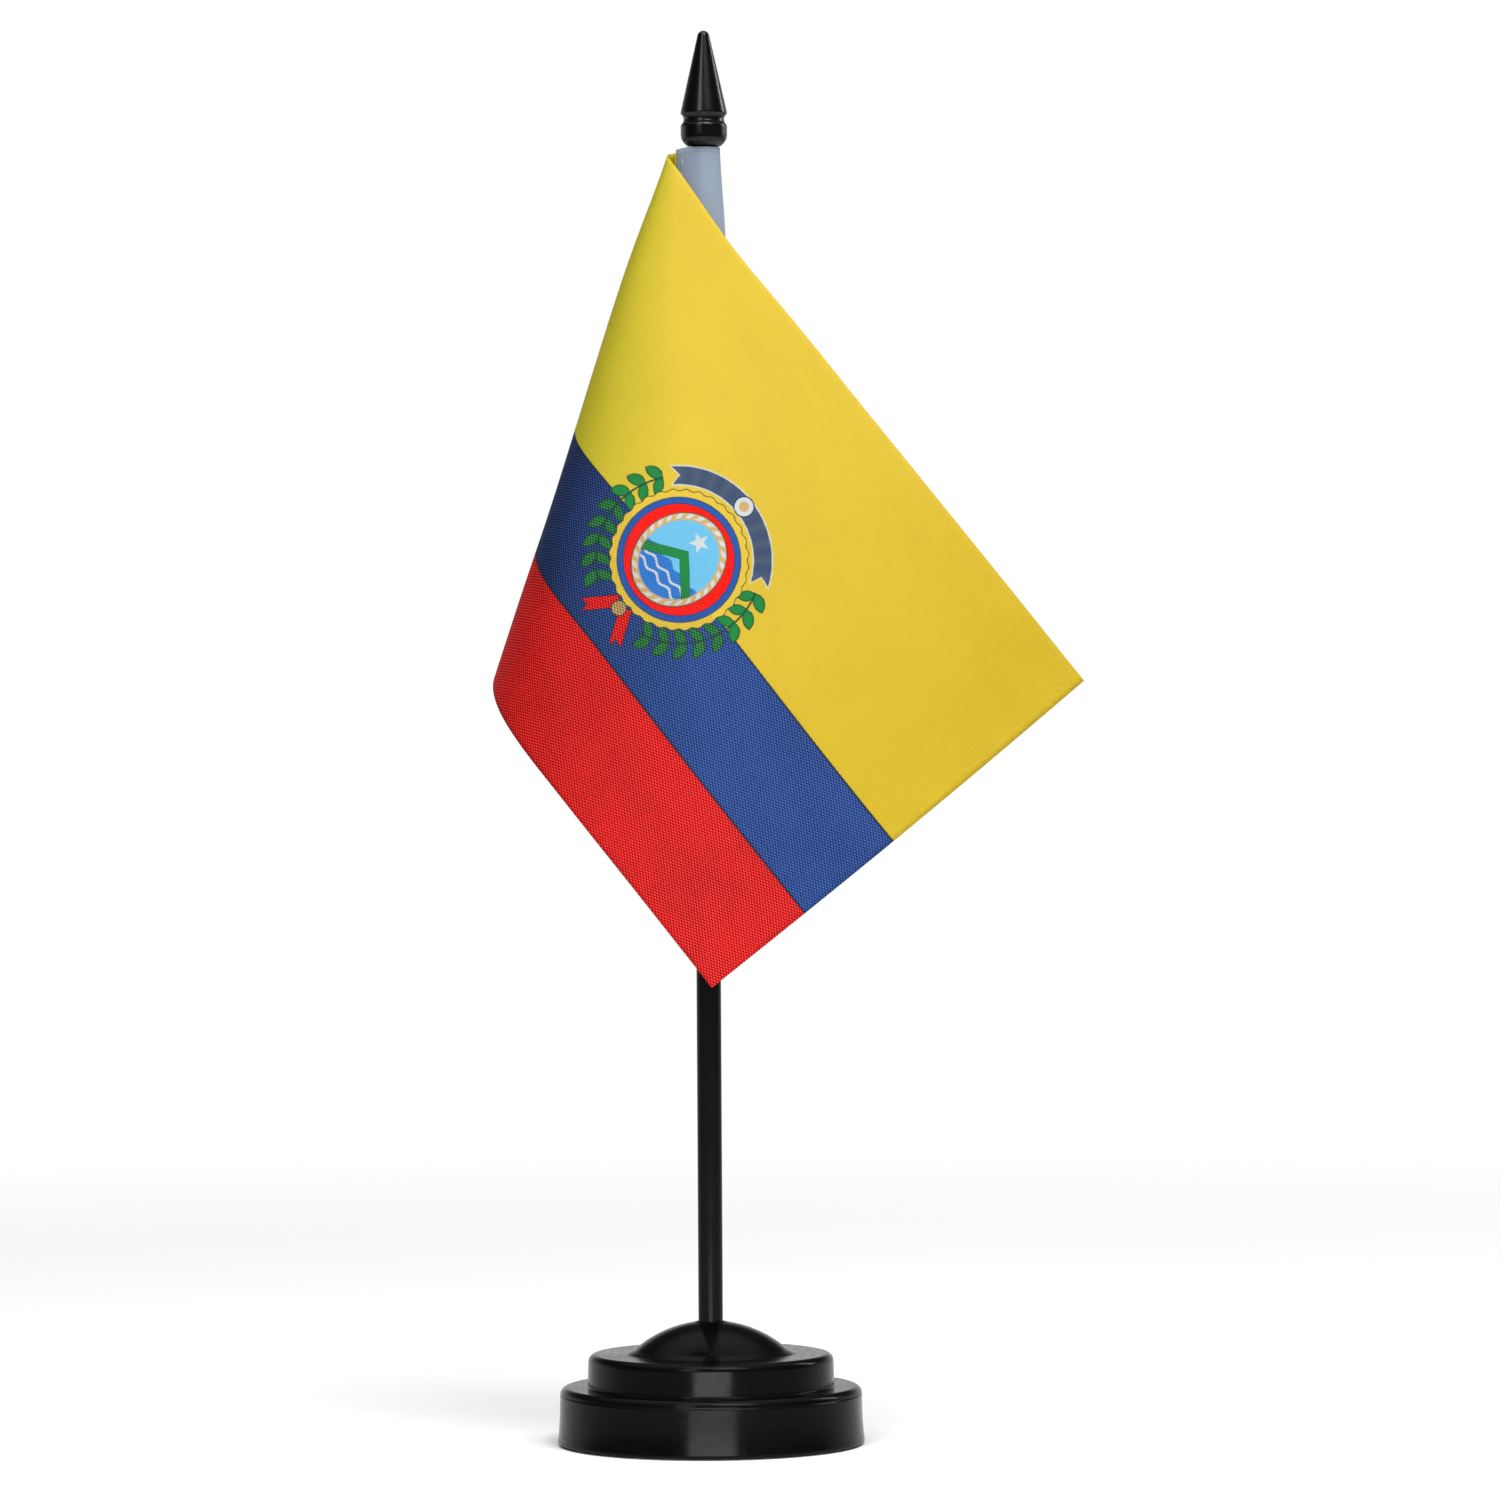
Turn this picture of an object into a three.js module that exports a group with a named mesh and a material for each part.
// Desk flag stand: a weighted two-tier base, a slim pole with a push-on finial,
// and a small printed flag whose sewn sleeve slips over the pole.
// Millimetres, +Z up. The origin is on the pole's axis, at the foot pad's underside.

import * as THREE from 'three';

// ---- Driving dimensions ----------------------------------------------------

const GAP = 0.3;                  // gap between pieces that seat on each other

// Base
const FOOT_RADIUS = 32.6;         // lower tier, at its slightly flared foot
const FOOT_FLARE = 0.4;           // how far the foot stands out past the wall
const FLARE_HEIGHT = 4.6;         // height over which the flare fades
const LOWER_TIER_TOP = 12.3;      // height of the lower ledge above the ground
const LOWER_LEDGE = 6.4;          // width of the ledge around the upper tier
const UPPER_TIER_RISE = 6.9;      // upper tier above the lower ledge
const UPPER_LEDGE = 9.1;          // width of the ledge around the dome
const DOME_RISE = 6.9;            // dome above the upper ledge
const EDGE_FILLET = 1.6;          // rounding of both tiers' top edges
const RIM_HEIGHT = 0.4;           // the shell's rim stands this far off the ground
const RIM_ROUND = 0.4;            // rounding of the shell's outer bottom edge
const SHELL_WALL = 2.0;           // moulded wall of the shell
const MOUTH_RECESS = 0.7;         // how deep the cover's seat is cut into the wall
const SOCKET_FLOOR = 2.0;         // material under the pole in its socket

// Closing pieces under the base
const PAD_THICKNESS = 1.0;
const PAD_INSET = 1.5;            // the pad is this much smaller than the cover
const COVER_THICKNESS = 1.6;

// Pole and finial
const POLE_RADIUS = 2.6;
const POLE_LENGTH = 281.6;
const POLE_CHAMFER = 0.5;
const FINIAL_GRIP = 12.0;         // how deep the pole reaches into the finial
const FINIAL_HEIGHT = 24.6;
const FINIAL_RADIUS = 4.95;       // collar and widest part of the spear
const FINIAL_FOOT_RADIUS = 3.5;
const FINIAL_NECK_RADIUS = 4.1;
const FINIAL_TIP_RADIUS = 1.3;
const COLLAR_BOTTOM = 1.9;        // heights above the finial's underside
const COLLAR_TOP = 4.5;
const NECK_HEIGHT = 5.6;
const SPEAR_BOTTOM = 7.1;

// Flag
const FLAG_DROP = 101.6;          // hoist, which is the sleeve's length too
const FLAG_FLY = 146.0;           // from the seam to the free edge
const CLOTH = 0.5;                // thickness of the printed sheet's solid
const SLEEVE_WALL = 0.35;
const SLEEVE_CLEARANCE = 0.35;    // between the pole and the sleeve around it
const SEAM_X = -7.2;              // the seam runs down beside the pole
const SEAM_Y = -2.6;
const SEAM_GATHER = 1.3;          // the sheet hangs this far below the sleeve's top
const SEAM_CLEARANCE = 0.6;       // from the sleeve's edge to the sheet

// Drape: the sheet is rolled as a cone, so that it keeps its flat size. Its
// rulings meet just above the top corner at the seam. Seen from there they turn
// round a narrow cone, and then open into a flat front panel.
const APEX_RISE = 4.95;           // from the sheet's top corner up to the apex
const SHEET_SKEW = degrees(1.5);  // the sheet's turn in its own plane at the seam
const ROLL_HEADING = degrees(93); // from +X, the way the sheet leaves the seam
const ROLL_HALF_ANGLE = degrees(8.96);
const ROLL_END = degrees(41.8);   // angle of sheet, from the seam, that is rolled

// Fineness of the round pieces and of the sheet
const ROUND_STEPS = 48;
const SLIM_STEPS = 32;
const SHEET_STEPS_ALONG = 44;
const SHEET_STEPS_DOWN = 14;
const SHEET_CROWDING = 1.5;       // packs the steps towards the tight roll

// ---- Derived places --------------------------------------------------------

const wallRadius = FOOT_RADIUS - FOOT_FLARE;
const upperTierRadius = wallRadius - LOWER_LEDGE + FOOT_FLARE;
const upperTierTop = LOWER_TIER_TOP + UPPER_TIER_RISE;
const domeFootRadius = upperTierRadius - UPPER_LEDGE;
const domeTop = upperTierTop + DOME_RISE;
const domeRadius = (domeFootRadius ** 2 + DOME_RISE ** 2) / (2 * DOME_RISE);
const domeCentre = domeTop - domeRadius;

const boreRadius = POLE_RADIUS + GAP;
const bossRadius = boreRadius + SHELL_WALL;
const cavityRadius = wallRadius - SHELL_WALL;
const mouthRadius = cavityRadius + MOUTH_RECESS;
const lowerRoof = LOWER_TIER_TOP - SHELL_WALL;
const upperRoof = upperTierTop - SHELL_WALL;

const coverBottom = PAD_THICKNESS + GAP;
const coverTop = coverBottom + COVER_THICKNESS;
const coverRadius = mouthRadius - GAP;
const weightBottom = coverTop + GAP;
const bossBottom = coverTop + GAP;
const socketBottom = bossBottom + SOCKET_FLOOR;

const poleBottom = socketBottom + GAP;
const poleTop = poleBottom + POLE_LENGTH;
const finialBottom = poleTop + GAP - FINIAL_GRIP;

const sleeveInnerRadius = POLE_RADIUS + SLEEVE_CLEARANCE;
const sleeveTop = finialBottom - GAP;
const sheetTop = sleeveTop - SEAM_GATHER;
const sheetApex = new THREE.Vector3(SEAM_X, SEAM_Y, sheetTop + APEX_RISE);

// ---- Materials -------------------------------------------------------------

const blackGloss = new THREE.MeshStandardMaterial({ color: 0x0e0e0f, roughness: 0.22 });
const blackSatin = new THREE.MeshStandardMaterial({ color: 0x121213, roughness: 0.35 });
const castIron = new THREE.MeshStandardMaterial({ color: 0x4a4b4d, roughness: 0.6, metalness: 0.9 });
const blackCard = new THREE.MeshStandardMaterial({ color: 0x1b1b1c, roughness: 0.7 });
const blackFoam = new THREE.MeshStandardMaterial({ color: 0x222223, roughness: 0.95 });
const paleCloth = new THREE.MeshStandardMaterial({ color: 0xa0b0c4, roughness: 0.85 });
const yellowCloth = new THREE.MeshStandardMaterial({ color: 0xe9c73f, roughness: 0.8 });

// ---- Helpers ---------------------------------------------------------------

function degrees(angle) {
  return THREE.MathUtils.degToRad(angle);
}

// A named piece, from a geometry that is already in place.
function piece(name, geometry, material) {
  const mesh = new THREE.Mesh(geometry, material);
  mesh.name = name;
  return mesh;
}

// Turns a profile of (radius, height) points about +Z. A closed body's profile
// climbs its outer wall, and starts and ends on the axis or on one same point.
function turned(points, steps) {
  const geometry = new THREE.LatheGeometry(points, steps);
  geometry.rotateX(Math.PI / 2);
  return geometry;
}

// Points on an arc about (x, y), both ends included.
function arc(x, y, radius, fromAngle, toAngle, steps) {
  const points = [];
  for (let i = 0; i <= steps; i += 1) {
    const angle = THREE.MathUtils.lerp(fromAngle, toAngle, i / steps);
    points.push(new THREE.Vector2(x + radius * Math.cos(angle), y + radius * Math.sin(angle)));
  }
  return points;
}

function point(x, y) {
  return new THREE.Vector2(x, y);
}

// A ring or disc with square edges. An inner radius of 0 makes a disc.
function ring(innerRadius, outerRadius, bottom, top, steps) {
  const points = [
    point(innerRadius, bottom),
    point(outerRadius, bottom),
    point(outerRadius, top),
    point(innerRadius, top),
  ];
  if (innerRadius > 0) {
    points.push(point(innerRadius, bottom));
  }
  return turned(points, steps);
}

// ---- Base ------------------------------------------------------------------

// One moulding: two tiers, a dome, and a blind socket boss for the pole.
function baseShell() {
  const rimCentre = FOOT_RADIUS - RIM_ROUND;
  const flareTop = RIM_HEIGHT + FLARE_HEIGHT;
  const innerDome = domeRadius - SHELL_WALL;
  const domeTopAngle = Math.acos(boreRadius / domeRadius);
  const domeFootAngle = Math.acos(domeFootRadius / domeRadius);
  const innerTopAngle = Math.acos(bossRadius / innerDome);
  const innerFootAngle = Math.asin((upperRoof - domeCentre) / innerDome);
  const points = [
    point(0, bossBottom),
    point(bossRadius, bossBottom),
    ...arc(0, domeCentre, innerDome, innerTopAngle, innerFootAngle, 5),
    point(upperTierRadius - SHELL_WALL, upperRoof),
    point(upperTierRadius - SHELL_WALL, lowerRoof),
    point(cavityRadius, lowerRoof),
    point(cavityRadius, coverTop + GAP),
    point(mouthRadius, coverTop + GAP),
    point(mouthRadius, RIM_HEIGHT),
    ...arc(rimCentre, RIM_HEIGHT + RIM_ROUND, RIM_ROUND, -Math.PI / 2, 0, 3),
    point(wallRadius + FOOT_FLARE * 0.3, (RIM_HEIGHT + flareTop) / 2),
    point(wallRadius, flareTop),
    ...arc(wallRadius - EDGE_FILLET, LOWER_TIER_TOP - EDGE_FILLET, EDGE_FILLET, 0, Math.PI / 2, 6),
    point(upperTierRadius, LOWER_TIER_TOP),
    ...arc(upperTierRadius - EDGE_FILLET, upperTierTop - EDGE_FILLET, EDGE_FILLET, 0, Math.PI / 2, 6),
    ...arc(0, domeCentre, domeRadius, domeFootAngle, domeTopAngle, 10),
    point(boreRadius, socketBottom),
    point(0, socketBottom),
  ];
  return piece('base_shell', turned(points, ROUND_STEPS), blackGloss);
}

// Ballast ring that fills the lower tier around the boss.
function baseWeight() {
  const bottom = weightBottom;
  const top = lowerRoof - GAP;
  const inner = bossRadius + GAP;
  const outer = cavityRadius - GAP;
  return piece('base_weight', ring(inner, outer, bottom, top, ROUND_STEPS), castIron);
}

// Disc that closes the shell's mouth and keeps the weight in.
function baseBottomCover() {
  return piece('base_bottom_cover', ring(0, coverRadius, coverBottom, coverTop, ROUND_STEPS), blackCard);
}

// Non-slip pad under the cover: what the stand rests on.
function footPad() {
  return piece('foot_pad', ring(0, coverRadius - PAD_INSET, 0, PAD_THICKNESS, ROUND_STEPS), blackFoam);
}

// ---- Pole and finial -------------------------------------------------------

function pole() {
  const points = [
    point(0, poleBottom),
    point(POLE_RADIUS - POLE_CHAMFER, poleBottom),
    point(POLE_RADIUS, poleBottom + POLE_CHAMFER),
    point(POLE_RADIUS, poleTop - POLE_CHAMFER),
    point(POLE_RADIUS - POLE_CHAMFER, poleTop),
    point(0, poleTop),
  ];
  return piece('pole', turned(points, SLIM_STEPS), blackSatin);
}

// Spear-shaped cap with a ringed collar and a blind hole for the pole.
function finial() {
  const boreTop = poleTop + GAP;
  const tipCentre = finialBottom + FINIAL_HEIGHT - FINIAL_TIP_RADIUS;
  const spearBottom = finialBottom + SPEAR_BOTTOM;
  const taper = Math.asin((FINIAL_RADIUS - FINIAL_TIP_RADIUS) / (tipCentre - spearBottom));
  const points = [
    point(0, boreTop),
    point(boreRadius, boreTop),
    point(boreRadius, finialBottom),
    point(FINIAL_FOOT_RADIUS, finialBottom),
    point((FINIAL_FOOT_RADIUS + FINIAL_RADIUS) / 2, finialBottom + COLLAR_BOTTOM * 0.4),
    point(FINIAL_RADIUS, finialBottom + COLLAR_BOTTOM),
    point(FINIAL_RADIUS, finialBottom + COLLAR_TOP),
    point((FINIAL_NECK_RADIUS + FINIAL_RADIUS) / 2, finialBottom + (COLLAR_TOP * 2 + NECK_HEIGHT) / 3),
    point(FINIAL_NECK_RADIUS, finialBottom + NECK_HEIGHT),
    point((FINIAL_NECK_RADIUS + FINIAL_RADIUS) / 2, finialBottom + (SPEAR_BOTTOM * 2 + NECK_HEIGHT) / 3),
    point(FINIAL_RADIUS, spearBottom),
    ...arc(0, tipCentre, FINIAL_TIP_RADIUS, taper, Math.PI / 2, 6),
  ];
  return piece('finial', turned(points, SLIM_STEPS), blackGloss);
}

// ---- Flag ------------------------------------------------------------------

// Outline of a loop of cloth drawn tight round the pole and pinched at the seam:
// a circle about the axis, and its two tangents that meet at the seam.
function sleeveOutline(radius, seamDistance) {
  const seamAngle = Math.atan2(SEAM_Y, SEAM_X);
  const halfOpening = Math.acos(radius / seamDistance);
  const wrap = arc(0, 0, radius, seamAngle + halfOpening, seamAngle - halfOpening + 2 * Math.PI, 20);
  return [point(seamDistance * Math.cos(seamAngle), seamDistance * Math.sin(seamAngle)), ...wrap];
}

// Cloth pocket that the pole passes through.
function poleSleeve() {
  const seamDistance = Math.hypot(SEAM_X, SEAM_Y);
  const outerRadius = sleeveInnerRadius + SLEEVE_WALL;
  const pinch = SLEEVE_WALL / Math.sin(Math.asin(sleeveInnerRadius / seamDistance));
  const shape = new THREE.Shape(sleeveOutline(outerRadius, seamDistance));
  shape.holes.push(new THREE.Path(sleeveOutline(sleeveInnerRadius, seamDistance - pinch)));
  const geometry = new THREE.ExtrudeGeometry(shape, { depth: FLAG_DROP, bevelEnabled: false });
  geometry.translate(0, 0, sleeveTop - FLAG_DROP);
  return piece('pole_sleeve', geometry, paleCloth);
}

// The ruling of the rolled sheet at an angle from the seam: its direction down
// from the apex, and the unit vector across it, the way the angle grows.
function ruling(angle) {
  const down = new THREE.Vector3(0, 0, -1);
  const heading = new THREE.Vector3(Math.cos(ROLL_HEADING), Math.sin(ROLL_HEADING), 0);
  const side = new THREE.Vector3().crossVectors(down, heading);
  const axis = down.clone().multiplyScalar(Math.cos(ROLL_HALF_ANGLE))
    .addScaledVector(side, -Math.sin(ROLL_HALF_ANGLE));
  const rolled = Math.min(angle, ROLL_END);
  const turn = -rolled / Math.sin(ROLL_HALF_ANGLE);
  down.applyAxisAngle(axis, turn);
  heading.applyAxisAngle(axis, turn);
  const open = angle - rolled;
  return {
    along: down.clone().multiplyScalar(Math.cos(open)).addScaledVector(heading, Math.sin(open)),
    across: heading.clone().multiplyScalar(Math.cos(open)).addScaledVector(down, -Math.sin(open)),
  };
}

// Where a point of the flat sheet hangs: u from the seam, v down from the top
// edge, and side from the mid-surface, along its normal.
function sheetPoint(u, v, side) {
  const x = u * Math.cos(SHEET_SKEW);
  const y = APEX_RISE + v + u * Math.sin(SHEET_SKEW);
  const { along, across } = ruling(Math.atan2(x, y));
  const normal = new THREE.Vector3().crossVectors(across, along);
  return sheetApex.clone().addScaledVector(along, Math.hypot(x, y)).addScaledVector(normal, side);
}

// The printed sheet, as a thin closed solid: a grid on each face and a rim.
function flagField() {
  const across = SHEET_STEPS_ALONG + 1;
  const positions = [];
  for (const side of [CLOTH / 2, -CLOTH / 2]) {
    for (let j = 0; j <= SHEET_STEPS_DOWN; j += 1) {
      for (let i = 0; i <= SHEET_STEPS_ALONG; i += 1) {
        const share = (i / SHEET_STEPS_ALONG) ** SHEET_CROWDING;
        const u = THREE.MathUtils.lerp(SEAM_CLEARANCE, FLAG_FLY, share);
        const v = FLAG_DROP * (j / SHEET_STEPS_DOWN);
        positions.push(...sheetPoint(u, v, side).toArray());
      }
    }
  }
  const faceSize = across * (SHEET_STEPS_DOWN + 1);
  const indices = [];
  const quad = (a, b, c, d) => indices.push(a, b, c, a, c, d);
  for (let j = 0; j < SHEET_STEPS_DOWN; j += 1) {
    for (let i = 0; i < SHEET_STEPS_ALONG; i += 1) {
      const corner = j * across + i;
      quad(corner, corner + 1, corner + across + 1, corner + across);
      quad(corner + faceSize, corner + faceSize + across, corner + faceSize + across + 1, corner + faceSize + 1);
    }
  }
  const rim = [];
  for (let i = 0; i < SHEET_STEPS_ALONG; i += 1) {
    rim.push(i);
  }
  for (let j = 0; j < SHEET_STEPS_DOWN; j += 1) {
    rim.push(j * across + SHEET_STEPS_ALONG);
  }
  for (let i = SHEET_STEPS_ALONG; i > 0; i -= 1) {
    rim.push(SHEET_STEPS_DOWN * across + i);
  }
  for (let j = SHEET_STEPS_DOWN; j > 0; j -= 1) {
    rim.push(j * across);
  }
  rim.forEach((start, k) => {
    const end = rim[(k + 1) % rim.length];
    quad(start, start + faceSize, end + faceSize, end);
  });
  const geometry = new THREE.BufferGeometry();
  geometry.setAttribute('position', new THREE.Float32BufferAttribute(positions, 3));
  geometry.setIndex(indices);
  geometry.computeVertexNormals();
  return piece('flag_field', geometry, yellowCloth);
}

// ---- Assembly --------------------------------------------------------------

const stand = new THREE.Group();
stand.add(baseShell(), baseWeight(), baseBottomCover(), footPad());
stand.add(pole(), finial());
stand.add(poleSleeve(), flagField());

export default stand;
